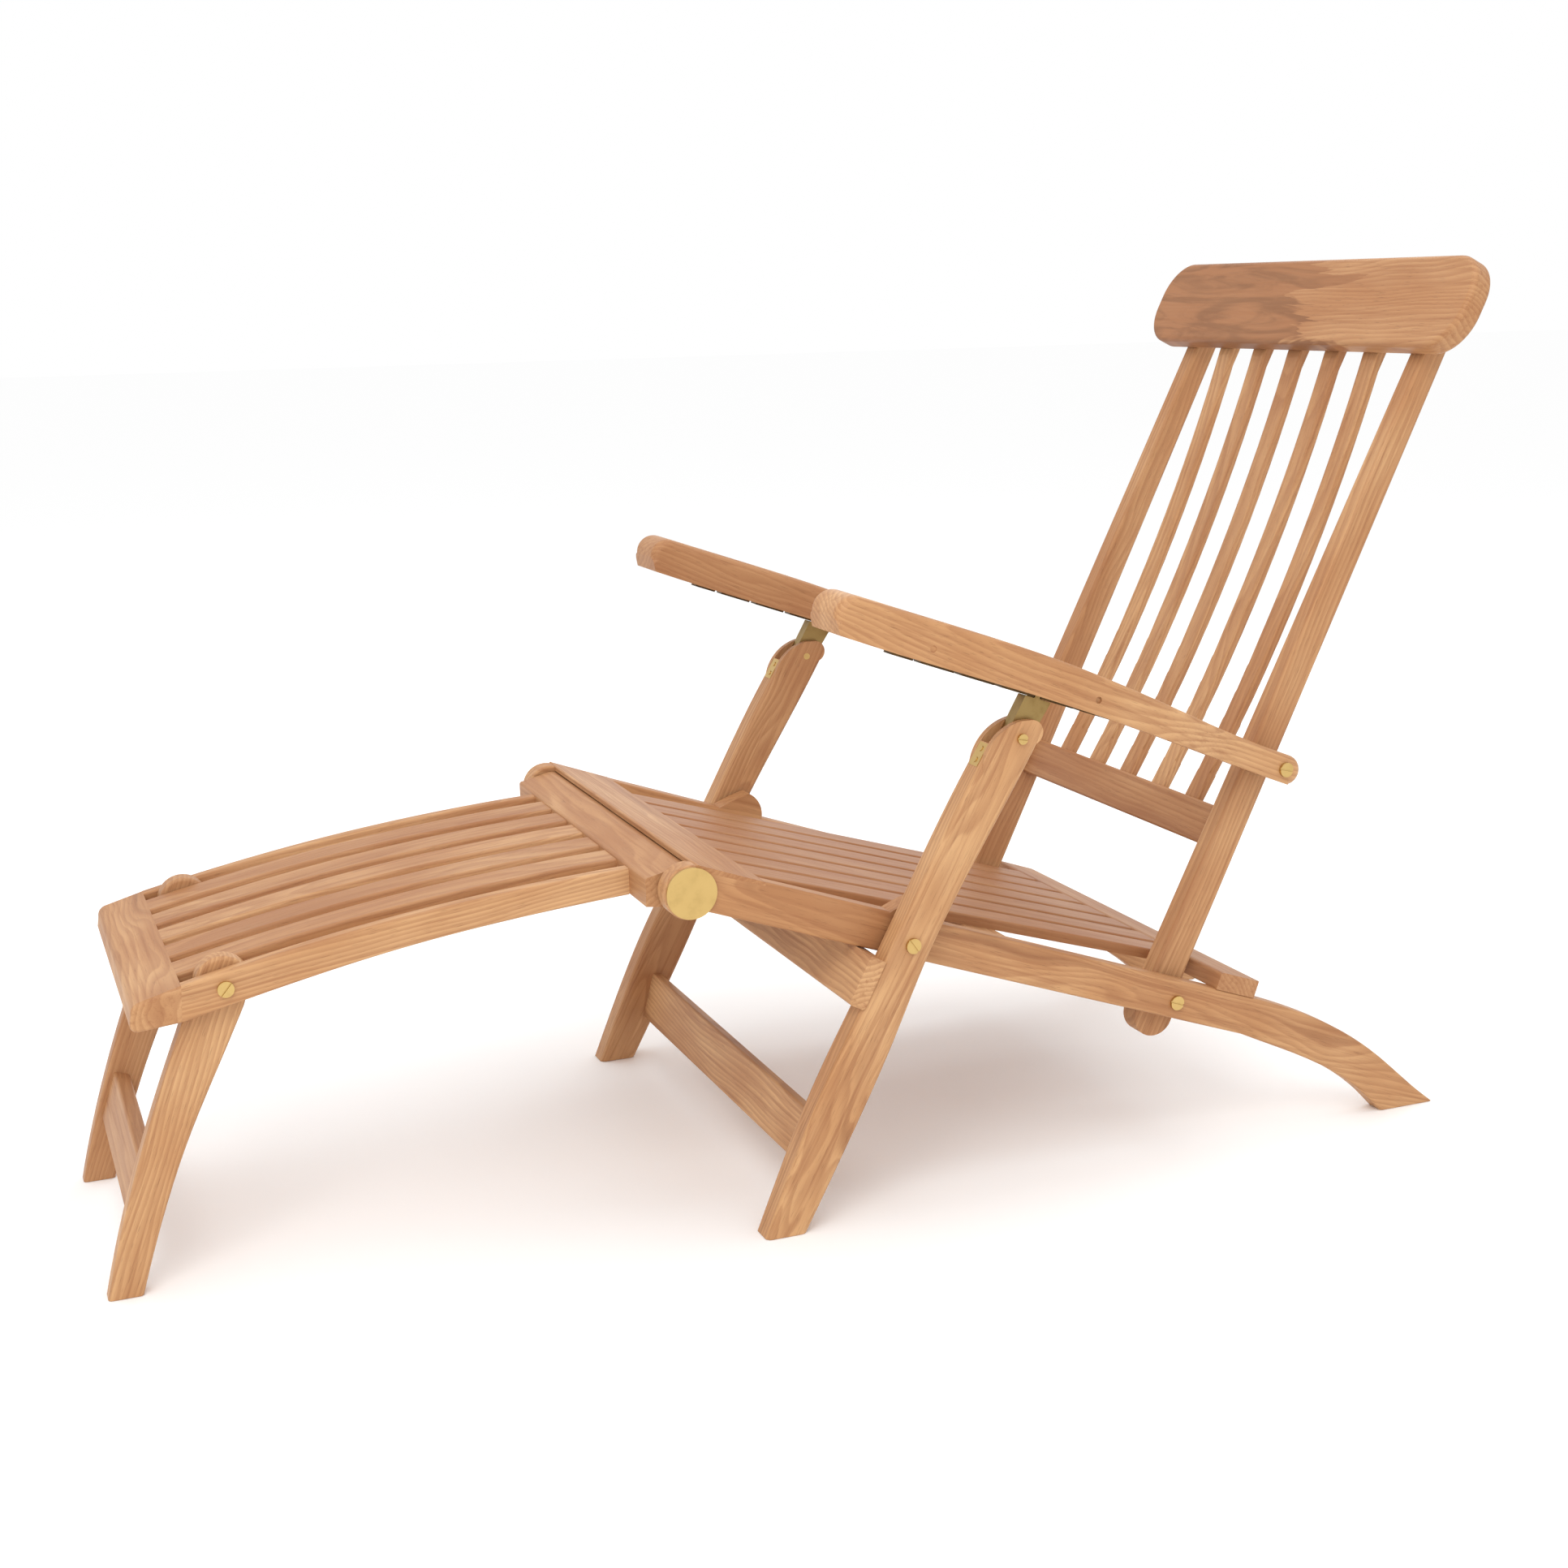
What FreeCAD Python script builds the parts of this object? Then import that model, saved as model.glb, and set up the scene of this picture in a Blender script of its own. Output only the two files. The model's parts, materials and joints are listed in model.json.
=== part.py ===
import FreeCAD, Part
import math
import os
import Sketcher

from FreeCAD import Placement, Rotation, Vector

# Folding teak deck chair with a fold-down footrest.
# Frame: +Z up, the sitter faces -Y, +X is the sitter's left, the floor is Z = 0
# and the origin lies on the floor under the middle of the chair's box.
# All lengths are millimetres.  Side outlines are drawn as (y, z) pairs, with y
# counted from the toe of the front legs; "toe_y" places that toe in the frame.

SIZES = {
    # where the front legs' toe stands, seen from the origin
    "toe_y": -120.8,
    # seat frame
    "rail_outer": 270.0,
    "rail_thick": 24.0,
    "rail_depth": 43.0,
    "rail_fall": 0.3532,
    "rail_height": 353.8,
    "knuckle_y": -56.5,
    "knuckle_radius": 28.0,
    "seat_slat_count": 7,
    "seat_slat_pitch": 60.5,
    "seat_slat_width": 50.0,
    "seat_slat_thick": 12.0,
    "batten_thick": 16.0,
    "batten_wide": 42.0,
    "rear_board_wide": 52.0,
    "rear_board_thick": 20.0,
    # front legs
    "leg_inner": 274.5,
    "leg_thick": 32.0,
    "leg_pivot_y": 167.6,
    "leg_pivot_z": 293.0,
    "support_thick": 19.0,
    "support_tall": 54.0,
    "stretcher_thick": 14.0,
    "stretcher_tall": 58.0,
    "fork_slot": 16.6,
    "fork_depth": 66.0,
    # brass hooks between the front legs and the arms
    "hook_thick": 16.0,
    "hook_pin_y": 292.0,
    "hook_pin_z": 496.5,
    "hook_pin_radius": 4.0,
    "strap_thick": 1.6,
    "strap_half": 9.0,
    "strap_tall": 26.0,
    # back
    "stile_outer": 242.5,
    "stile_thick": 25.0,
    "back_pivot_y": 504.0,
    "back_pivot_z": 172.5,
    "back_slat_count": 5,
    "back_slat_pitch": 74.0,
    "back_slat_width": 28.0,
    "back_slat_thick": 10.0,
    "back_rail_thick": 20.0,
    "back_rail_tall": 46.0,
    "headrest_half": 312.0,
    "headrest_tall": 108.0,
    "headrest_thick": 26.0,
    "headrest_corner": 46.0,
    # arms
    "arm_inner": 248.0,
    "arm_wide": 71.0,
    "arm_rear_wide": 44.0,
    "arm_pivot_y": 622.0,
    "arm_pivot_z": 428.5,
    "notch_rail_wide": 17.0,
    "notch_rail_proud": 2.5,
    "notch_radius": 4.6,
    "notch_pitch": 48.0,
    "plug_radius": 3.5,
    # footrest
    "foot_rail_outer": 188.0,
    "foot_rail_thick": 16.0,
    "foot_slat_count": 5,
    "foot_slat_pitch": 62.0,
    "foot_slat_width": 44.0,
    "foot_slat_thick": 12.0,
    "inner_board_half": 243.0,
    "foot_leg_outer": 170.6,
    "foot_leg_thick": 23.0,
    "foot_leg_pivot_y": -501.5,
    "foot_leg_pivot_z": 306.0,
    "foot_leg_rail_thick": 18.0,
    "foot_leg_rail_tall": 54.0,
    # fasteners
    "bolt_radius": 4.0,
    "bolt_head_radius": 8.0,
    "bolt_head_thick": 3.5,
    "slot_wide": 1.8,
    "slot_deep": 1.4,
    "nut_radius": 7.5,
    "nut_thick": 5.0,
    "spacer_radius": 11.0,
    "running_gap": 0.05,
    "side_gap": 0.3,
    "cap_radius": 26.5,
    "cap_thick": 3.0,
    "cap_pin_radius": 5.0,
    "screw_head_radius": 4.0,
    # edge roundings
    "round_big": 6.0,
    "round_mid": 4.0,
    "round_small": 3.0,
    "arm_round": 10.0,
}

doc = FreeCAD.newDocument("deck_chair")
sheet = doc.addObject("Spreadsheet::Sheet", "sizes")
for row, (alias, size) in enumerate(SIZES.items(), start=1):
    sheet.set("A%d" % row, alias)
    sheet.set("B%d" % row, str(size))
    sheet.setAlias("B%d" % row, alias)
doc.recompute()

NODES = []


def size(alias):
    """The value in the sheet."""
    return float(sheet.get(alias))


def cell(alias):
    """How an expression names a cell of the sheet."""
    return "sizes." + alias


# ---------------------------------------------------------------- outlines

class Outline:
    """A closed side outline, drawn from the toe of the front legs."""

    def __init__(self, y, z):
        self.begin = self.place(y, z)
        self.here = self.begin
        self.edges = []

    @staticmethod
    def place(y, z):
        return Vector(y + size("toe_y"), z, 0)

    def line(self, y, z):
        there = self.place(y, z)
        self.edges.append(Part.LineSegment(self.here, there))
        self.here = there
        return self

    def arc(self, through, end):
        there = self.place(*end)
        self.edges.append(Part.Arc(self.here, self.place(*through), there))
        self.here = there
        return self

    def curve(self, *points):
        spots = [self.here] + [self.place(*point) for point in points]
        smooth = Part.BSplineCurve()
        smooth.interpolate(spots)
        self.edges.append(smooth)
        self.here = spots[-1]
        return self

    def close(self):
        if self.here.distanceToPoint(self.begin) > 1e-6:
            self.edges.append(Part.LineSegment(self.here, self.begin))
        return self.edges


def along(origin, angle, forward, upward):
    """A point in a frame turned by angle (degrees) about the X axis."""
    turn = math.radians(angle)
    y = origin[0] + forward * math.cos(turn) - upward * math.sin(turn)
    z = origin[1] + forward * math.sin(turn) + upward * math.cos(turn)
    return (y, z)


def bar_outline(middle, angle, wide, tall):
    """A plain rectangle about its middle, turned by angle."""
    corners = [(-wide / 2, -tall / 2), (wide / 2, -tall / 2), (wide / 2, tall / 2), (-wide / 2, tall / 2)]
    spots = [along(middle, angle, across, up) for across, up in corners]
    shape = Outline(*spots[0])
    for spot in spots[1:]:
        shape.line(*spot)
    return shape.close()


def ring_outline(middle, radius):
    """A circle about a pivot."""
    centre = Outline.place(*middle)
    return [Part.Circle(centre, Vector(0, 0, 1), radius)]


# ------------------------------------------------------- bodies and features

def origin_plane(body, role):
    for feature in body.Origin.OriginFeatures:
        if feature.Role == role:
            return feature
    raise RuntimeError("no plane " + role)


def new_sketch(body, name, edges, role="YZ_Plane"):
    sketch = body.newObject("Sketcher::SketchObject", name)
    sketch.AttachmentSupport = (origin_plane(body, role), [""])
    sketch.MapMode = "FlatFace"
    for edge in edges:
        sketch.addGeometry(edge, False)
    return sketch


def board(node, edges, thick, middle=None):
    """A piece of wood: one side outline, as thick across as the sheet says."""
    body = doc.addObject("PartDesign::Body", node)
    body.Label = node
    sketch = new_sketch(body, node + "_outline", edges)
    pad = body.newObject("PartDesign::Pad", node + "_pad")
    pad.Profile = sketch
    pad.SideType = "Symmetric"
    pad.setExpression("Length", thick)
    if middle:
        body.setExpression(".Placement.Base.x", middle)
    doc.recompute()
    NODES.append(body)
    return body


def cut_out(body, name, edges, thick=None, role="YZ_Plane"):
    """Cut an outline out of a body, right through or only as thick as given."""
    before = body.Shape.Volume
    sketch = new_sketch(body, body.Name + "_" + name, edges, role)
    pocket = body.newObject("PartDesign::Pocket", body.Name + "_" + name + "_cut")
    pocket.Profile = sketch
    pocket.SideType = "Symmetric"
    if thick:
        pocket.Type = "Length"
        pocket.setExpression("Length", thick)
    else:
        pocket.Type = "ThroughAll"
    doc.recompute()
    if body.Shape.Volume > before - 1.0:
        raise RuntimeError(pocket.Name + " cuts nothing")
    return pocket


def shift_sketch(pocket, across):
    """Move a cut's sketch sideways in its body."""
    pocket.Profile[0].AttachmentOffset = Placement(Vector(0, 0, across), Rotation())
    doc.recompute()


def bore(body, name, middle, radius):
    """A round hole right through, its radius held by the sheet."""
    pocket = cut_out(body, name, ring_outline(middle, 1.0))
    sketch = pocket.Profile[0]
    sketch.addConstraint(Sketcher.Constraint("Radius", 0, 1.0))
    sketch.setExpression("Constraints[0]", radius)
    doc.recompute()
    return pocket


def round_edges(body, radius, wanted):
    """Round the edges of the body's tip that wanted(edge) picks."""
    tip = body.Tip
    names = []
    for index, edge in enumerate(tip.Shape.Edges, start=1):
        if wanted(edge):
            names.append("Edge%d" % index)
    fillet = body.newObject("PartDesign::Fillet", body.Name + "_round%d" % len(body.Group))
    fillet.Base = (tip, names)
    fillet.setExpression("Radius", radius)
    doc.recompute()
    return fillet


def on_side_face(edge):
    """True for an edge of the outline: it keeps one distance from the middle plane."""
    box = edge.BoundBox
    return box.XLength < 1e-4


def crosswise(edge):
    """True for an edge that runs straight across the chair."""
    box = edge.BoundBox
    return box.YLength < 1e-4 and box.ZLength < 1e-4


def pair(maker):
    """Make the left piece and then the right one."""
    for side_name, sign in (("left", ""), ("right", "-")):
        maker(side_name, sign)


# ---------------------------------------------------------------- seat frame

def rail_middle_z(y):
    return size("rail_height") - size("rail_fall") * y


RAIL_LIFT = size("rail_depth") / 2 * math.hypot(1.0, size("rail_fall"))
RAIL_ANGLE = -math.degrees(math.atan(size("rail_fall")))


def rail_top(y):
    return rail_middle_z(y) + RAIL_LIFT


def rail_bottom(y):
    return rail_middle_z(y) - RAIL_LIFT


def knuckle_centre():
    drop = size("knuckle_radius") * math.hypot(1.0, size("rail_fall"))
    return (size("knuckle_y"), rail_top(size("knuckle_y")) - drop)


def around(centre, radius, angle):
    turn = math.radians(angle)
    return (centre[0] + radius * math.cos(turn), centre[1] + radius * math.sin(turn))


def seat_rail(side_name, sign):
    """Side rail: round knuckle in front, bump behind the front leg, curved rear foot."""
    knuckle = knuckle_centre()
    radius = size("knuckle_radius")
    top = around(knuckle, radius, 90 + RAIL_ANGLE)
    sink = rail_middle_z(knuckle[0]) - knuckle[1]
    reach = (size("rail_depth") / 2 - sink * math.cos(math.radians(RAIL_ANGLE))) / radius
    low = around(knuckle, radius, RAIL_ANGLE - math.degrees(math.asin(reach)))
    shape = Outline(*top)
    shape.line(160, rail_top(160))
    shape.arc((182, rail_top(182) + 16.5), (199, 334.0))
    shape.arc((206, 329), (215, rail_top(215)))
    shape.line(610, rail_top(610))
    shape.curve((668, 137), (726, 106), (783, 64), (830, 22), (845, 9.5))
    shape.line(857, 0)
    shape.line(784, 0)
    shape.line(773, 11.5)
    shape.curve((725, 52.5), (664, 87.5), (590, rail_bottom(590)))
    shape.line(*low)
    shape.arc(around(knuckle, radius, 180), top)
    node = "seat_rail_" + side_name
    middle = sign + "(" + cell("rail_outer") + " - " + cell("rail_thick") + " / 2)"
    body = board(node, shape.close(), cell("rail_thick"), middle)
    round_edges(body, cell("round_small"), long_rail_edge)
    bore(body, "leg_bolt_hole", (size("leg_pivot_y"), size("leg_pivot_z")), cell("bolt_radius"))
    bore(body, "back_bolt_hole", (size("back_pivot_y"), size("back_pivot_z")), cell("bolt_radius"))
    bore(body, "hinge_pin_hole", knuckle, cell("cap_pin_radius"))
    cut_out(body, "board_rest", front_board_outline())


def long_rail_edge(edge):
    """The straight and curved runs of the rail, not the bump, the sole or the tip."""
    return on_side_face(edge) and edge.Length > 200


FRONT_BOARD = {"front": -50.0, "rear": 22.5, "proud": 1.0, "let_in": 5.5}


def front_board_outline():
    """Thin board with a bevelled underside, let into the tops of both rails."""
    front = FRONT_BOARD["front"]
    rear = FRONT_BOARD["rear"]
    proud = FRONT_BOARD["proud"]
    shape = Outline(front, rail_top(front) - FRONT_BOARD["let_in"])
    shape.line(rear, rail_top(rear) - 4.0)
    shape.line(rear, rail_top(rear))
    shape.line(front + 3, rail_top(front + 3) + proud)
    shape.arc((front + 0.9, rail_top(front) + proud - 0.5), (front, rail_top(front) + proud - 3.0))
    return shape.close()


def seat_front_board():
    body = board("seat_front_board", front_board_outline(), "2 * " + cell("rail_outer"))
    return body


SEAT_FRONT = (23.0, 363.6)
SEAT_REAR = (557.0, 201.0)
SEAT_SLOPE = (SEAT_REAR[1] - SEAT_FRONT[1]) / (SEAT_REAR[0] - SEAT_FRONT[0])
SEAT_MIDDLE = ((SEAT_FRONT[0] + SEAT_REAR[0]) / 2, (SEAT_FRONT[1] + SEAT_REAR[1]) / 2)


def seat_slat_outline():
    """Long straight slat, cut upright in front and square at the rear."""
    drop = size("seat_slat_thick")
    shape = Outline(*SEAT_FRONT)
    shape.line(*SEAT_REAR)
    shape.line(SEAT_REAR[0] - 3.6, SEAT_REAR[1] - drop - 3.6 * SEAT_SLOPE)
    shape.line(SEAT_FRONT[0], SEAT_FRONT[1] - drop)
    return shape.close()


def seat_slats():
    count = int(size("seat_slat_count"))
    for number in range(1, count + 1):
        step = number - (count + 1) / 2
        middle = "%g * %s" % (step, cell("seat_slat_pitch"))
        body = board("seat_slat_%d" % number, seat_slat_outline(), cell("seat_slat_width"), middle)
        round_edges(body, cell("round_small"), slat_top_edge)


def slat_top_edge(edge):
    """The two long upper edges of a slat."""
    if not on_side_face(edge) or edge.Length < 200:
        return False
    return edge.CenterOfMass.z > SEAT_MIDDLE[1] - size("seat_slat_thick") / 2


def seat_batten():
    """Cross batten under the middle of the slats, between the rails."""
    slope = math.degrees(math.atan(SEAT_SLOPE))
    under = size("seat_slat_thick") + size("batten_thick") / 2 * math.hypot(1, SEAT_SLOPE)
    middle = (SEAT_MIDDLE[0], SEAT_MIDDLE[1] - under)
    outline = bar_outline(middle, slope, size("batten_wide"), size("batten_thick"))
    board("seat_batten", outline, "2 * (%s - %s)" % (cell("rail_outer"), cell("rail_thick")))


def seat_rear_board():
    """Board across the tops of the rails behind the back, where the slats end."""
    wide = size("rear_board_wide")
    thick = size("rear_board_thick")
    middle_y = 580.0
    foot = (middle_y, rail_top(middle_y))
    middle = along(foot, RAIL_ANGLE, 0.0, thick / 2)
    body = board("seat_rear_board", bar_outline(middle, RAIL_ANGLE, wide, thick), "2 * " + cell("rail_outer"))
    round_edges(body, cell("round_mid"), upper_crosswise_edge)


def upper_crosswise_edge(edge):
    return crosswise(edge) and edge.CenterOfMass.z > 183.0


# ---------------------------------------------------------------- front legs

LEG_FRONT = [(28, 65.0), (66, 149.0), (104, 219.0), (156, 313.0), (203, 400.0), (250, 480.0)]
LEG_REAR = [(306, 480.0), (240, 372.0), (188, 281.0), (145, 188.0), (97, 94.0), (46, 0.0)]


def front_leg(side_name, sign):
    """Gently bent leg with a rounded top that is forked for the hook."""
    shape = Outline(1, 0)
    shape.curve(*LEG_FRONT)
    shape.arc((266, 503), (291, 515.0))
    shape.line(304, 515)
    shape.arc((315, 508), (314, 494))
    shape.curve(*LEG_REAR)
    node = "front_leg_" + side_name
    middle = sign + "(" + cell("leg_inner") + " + " + cell("leg_thick") + " / 2)"
    body = board(node, shape.close(), cell("leg_thick"), middle)
    round_edges(body, cell("round_big"), long_outline_edge)
    pivot = (size("leg_pivot_y"), size("leg_pivot_z"))
    bore(body, "leg_bolt_hole", pivot, cell("bolt_radius") + " + " + cell("running_gap"))
    pin = (size("hook_pin_y"), size("hook_pin_z"))
    bore(body, "hook_pin_hole", pin, cell("hook_pin_radius"))
    cut_out(body, "fork", fork_outline(), cell("fork_slot"))
    cut_out(body, "support_rest", support_outline())
    cut_out(body, "strap_rest", strap_outline(), "2 * " + cell("strap_half"))


STRAP_TOP = (258.5, 492.5)
STRAP_ANGLE = -31.0


def strap_outline():
    """Recess in the front of the leg under the fork, open to the front, for the strap."""
    front = -size("strap_thick") - 6.0
    tall = size("strap_tall")
    corners = [(front, 0.0), (0.0, 0.0), (0.0, -tall), (front, -tall)]
    spots = [along(STRAP_TOP, STRAP_ANGLE, forward, upward) for forward, upward in corners]
    shape = Outline(*spots[0])
    for spot in spots[1:]:
        shape.line(*spot)
    return shape.close()


def long_outline_edge(edge):
    return on_side_face(edge) and edge.Length > 150


def fork_outline():
    """Everything of the leg's top above the fork's floor."""
    pin = (size("hook_pin_y"), size("hook_pin_z"))
    angle = 61.0
    reach = size("fork_depth")
    corners = [(-17.0, 50.0), (-26.0, -50.0), (reach, -50.0), (reach, 50.0)]
    spots = [along(pin, angle, forward, upward) for forward, upward in corners]
    shape = Outline(*spots[0])
    for spot in spots[1:]:
        shape.line(*spot)
    return shape.close()


SUPPORT_ANGLE = -27.5
SUPPORT_MIDDLE = (117.2, 259.4)


def support_outline():
    return bar_outline(SUPPORT_MIDDLE, SUPPORT_ANGLE, size("support_thick"), size("support_tall"))


def seat_support_bar():
    """Bar let into the front of both legs; the seat rails rest on it."""
    across = "2 * (%s + %s)" % (cell("leg_inner"), cell("leg_thick"))
    body = board("seat_support_bar", support_outline(), across)
    round_edges(body, cell("round_small"), front_crosswise_edge)


def front_crosswise_edge(edge):
    return crosswise(edge) and edge.CenterOfMass.y < SUPPORT_MIDDLE[0] + size("toe_y") - 2


def lower_stretcher():
    middle = (73.0, 78.0)
    outline = bar_outline(middle, -15.0, size("stretcher_thick"), size("stretcher_tall"))
    body = board("lower_stretcher", outline, "2 * " + cell("leg_inner"))
    round_edges(body, cell("round_small"), crosswise)


# --------------------------------------------------------------------- hooks

NOTCH_ANGLE = math.degrees(math.atan(-0.3573))
HOOK_NOTCH_Y = 313.5
HOOK_DROP = 0.6
HOOK_EYE = 14.0


def arm_under(y):
    """Height of the arm's underside at y."""
    return 583.0 - 0.3573 * (y - 188.0)


def strip_under(y):
    """Height of the notched strip's underside at y."""
    return arm_under(y) - size("notch_rail_proud") / math.cos(math.radians(NOTCH_ANGLE))


def hook_outline():
    """Brass hook: round eye in the fork, broad blade, tooth in the arm's notch."""
    pin = (size("hook_pin_y"), size("hook_pin_z"))
    root = (HOOK_NOTCH_Y, strip_under(HOOK_NOTCH_Y) - HOOK_DROP)
    shape = Outline(*around(pin, HOOK_EYE, 150))
    shape.line(*along(root, NOTCH_ANGLE, -14.0, 0.0))
    shape.line(*along(root, NOTCH_ANGLE, -3.6, 0.0))
    shape.line(*along(root, NOTCH_ANGLE, -2.4, 3.4))
    shape.line(*along(root, NOTCH_ANGLE, 2.4, 3.4))
    shape.line(*along(root, NOTCH_ANGLE, 3.6, 0.0))
    shape.line(*along(root, NOTCH_ANGLE, 17.0, 0.0))
    shape.line(*around(pin, HOOK_EYE, -10))
    shape.arc(around(pin, HOOK_EYE, -110), around(pin, HOOK_EYE, 150))
    return shape.close()


def hook(side_name, sign):
    node = "hook_" + side_name
    middle = sign + "(" + cell("leg_inner") + " + " + cell("leg_thick") + " / 2)"
    body = board(node, hook_outline(), cell("hook_thick"), middle)
    pin = (size("hook_pin_y"), size("hook_pin_z"))
    bore(body, "pin_hole", pin, cell("hook_pin_radius") + " + " + cell("running_gap"))


# ---------------------------------------------------------------------- back

BACK_RISE = 0.4955
BACK_ANGLE = -math.degrees(math.atan(BACK_RISE))


def stile_front(z):
    return 490.7 + BACK_RISE * (z - 201.7)


def back_stile(side_name, sign):
    """Stile that narrows from the round lower end to the top behind the headrest."""
    shape = Outline(stile_front(165), 165)
    shape.line(stile_front(930), 930)
    shape.line(stile_front(930) + 24, 918)
    shape.line(533.3 + 0.4706 * (200 - 198.3), 200)
    shape.line(516.0, 150)
    shape.arc((488, 127.5), (stile_front(165), 165))
    node = "back_stile_" + side_name
    middle = sign + "(" + cell("stile_outer") + " - " + cell("stile_thick") + " / 2)"
    body = board(node, shape.close(), cell("stile_thick"), middle)
    round_edges(body, cell("round_mid"), long_outline_edge)
    pivot = (size("back_pivot_y"), size("back_pivot_z"))
    bore(body, "back_bolt_hole", pivot, cell("bolt_radius") + " + " + cell("running_gap"))
    bore(body, "arm_bolt_hole", (size("arm_pivot_y"), size("arm_pivot_z")), cell("bolt_radius"))


BACK_RAIL_MIDDLE = (588.0, 348.5)


def back_lower_rail():
    outline = bar_outline(BACK_RAIL_MIDDLE, BACK_ANGLE, size("back_rail_thick"), size("back_rail_tall"))
    across = "2 * (%s - %s)" % (cell("stile_outer"), cell("stile_thick"))
    body = board("back_lower_rail", outline, across)
    round_edges(body, cell("round_small"), crosswise)


BACK_SLAT_BOW = 15.0


def back_slat_outline():
    """Slat bowed away from the sitter, from the lower rail up behind the headrest."""
    thick = size("back_slat_thick")
    low = along(BACK_RAIL_MIDDLE, BACK_ANGLE, -thick / 2, size("back_rail_tall") / 2)
    high = (stile_front(900), 900.0)
    neck = (stile_front(858), 858.0)
    mid = along(((low[0] + neck[0]) / 2, (low[1] + neck[1]) / 2), BACK_ANGLE, BACK_SLAT_BOW, 0)
    shape = Outline(*low)
    shape.arc(mid, neck)
    shape.line(*high)
    shape.line(*along(high, BACK_ANGLE, thick, 0))
    shape.line(*along(neck, BACK_ANGLE, thick, 0))
    shape.arc(along(mid, BACK_ANGLE, thick, 0), along(low, BACK_ANGLE, thick, 0))
    return shape.close()


def back_slats():
    count = int(size("back_slat_count"))
    for number in range(1, count + 1):
        step = number - (count + 1) / 2
        middle = "%g * %s" % (step, cell("back_slat_pitch"))
        body = board("back_slat_%d" % number, back_slat_outline(), cell("back_slat_width"), middle)
        round_edges(body, cell("round_small"), long_bow_edge)


def long_bow_edge(edge):
    return on_side_face(edge) and edge.Length > 300


def headrest():
    """Wide board with round ends, fixed to the front of the stiles."""
    half = size("headrest_half")
    tall = size("headrest_tall")
    corner = size("headrest_corner")
    thick = size("headrest_thick")
    body = doc.addObject("PartDesign::Body", "headrest")
    body.Label = "headrest"
    flat = half - corner
    up = tall / 2
    low = -tall / 2
    turn = corner * math.sqrt(0.5)
    edges = [
        Part.LineSegment(Vector(-flat, up, 0), Vector(flat, up, 0)),
        Part.Arc(Vector(flat, up, 0), Vector(flat + turn, up - corner + turn, 0), Vector(half, up - corner, 0)),
        Part.LineSegment(Vector(half, up - corner, 0), Vector(half, low + corner, 0)),
        Part.Arc(Vector(half, low + corner, 0), Vector(flat + turn, low + corner - turn, 0), Vector(flat, low, 0)),
        Part.LineSegment(Vector(flat, low, 0), Vector(-flat, low, 0)),
        Part.Arc(Vector(-flat, low, 0), Vector(-flat - turn, low + corner - turn, 0), Vector(-half, low + corner, 0)),
        Part.LineSegment(Vector(-half, low + corner, 0), Vector(-half, up - corner, 0)),
        Part.Arc(Vector(-half, up - corner, 0), Vector(-flat - turn, up - corner + turn, 0), Vector(-flat, up, 0)),
    ]
    sketch = new_sketch(body, "headrest_outline", edges, "XZ_Plane")
    pad = body.newObject("PartDesign::Pad", "headrest_pad")
    pad.Profile = sketch
    pad.SideType = "Symmetric"
    pad.setExpression("Length", cell("headrest_thick"))
    doc.recompute()
    fillet = body.newObject("PartDesign::Fillet", "headrest_round")
    names = []
    for index, edge in enumerate(pad.Shape.Edges, start=1):
        if edge.BoundBox.YLength < 1e-4:
            names.append("Edge%d" % index)
    fillet.Base = (pad, names)
    fillet.setExpression("Radius", cell("round_big"))
    low_front = (stile_front(864), 864.0)
    centre = along(low_front, BACK_ANGLE, -thick / 2, tall / 2)
    spot = Outline.place(*centre)
    body.Placement = Placement(Vector(0, spot.x, spot.y), Rotation(Vector(1, 0, 0), BACK_ANGLE))
    doc.recompute()
    NODES.append(body)


# ---------------------------------------------------------------------- arms

def arm_outline():
    """Side of the arm: blunt round front, slimmer towards the round rear end."""
    shape = Outline(87, 620.2)
    shape.curve((188, 583), (306, 541), (400, 505), (500, 464), (600, 421.6), (630, 409.3))
    shape.arc((643, 419.5), (634, 441.1))
    shape.curve((612, 449.8), (512, 494), (414, 540), (321, 580), (202, 624), (110.6, 656.4))
    shape.arc((90.5, 652), (84, 637))
    return shape.close()


def arm_waste_outline():
    """What is cut off the outer side, seen from above, where the arm narrows."""
    half = size("arm_wide") / 2
    rear = size("arm_rear_wide") - half
    toe = size("toe_y")
    spots = [(half, 330), (half - 2.5, 430), (half - 12, 500), (rear + 3, 545), (rear, 580)]
    points = [Vector(across, y + toe, 0) for across, y in spots]
    flank = Part.BSplineCurve()
    backward = Vector(0, 1, 0)
    flank.interpolate(Points=points, InitialTangent=backward, FinalTangent=backward)
    far = Vector(rear, 680 + toe, 0)
    far_out = Vector(half + 20, 680 + toe, 0)
    near_out = Vector(half + 20, 330 + toe, 0)
    return [
        flank,
        Part.LineSegment(points[-1], far),
        Part.LineSegment(far, far_out),
        Part.LineSegment(far_out, near_out),
        Part.LineSegment(near_out, points[0]),
    ]


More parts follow.
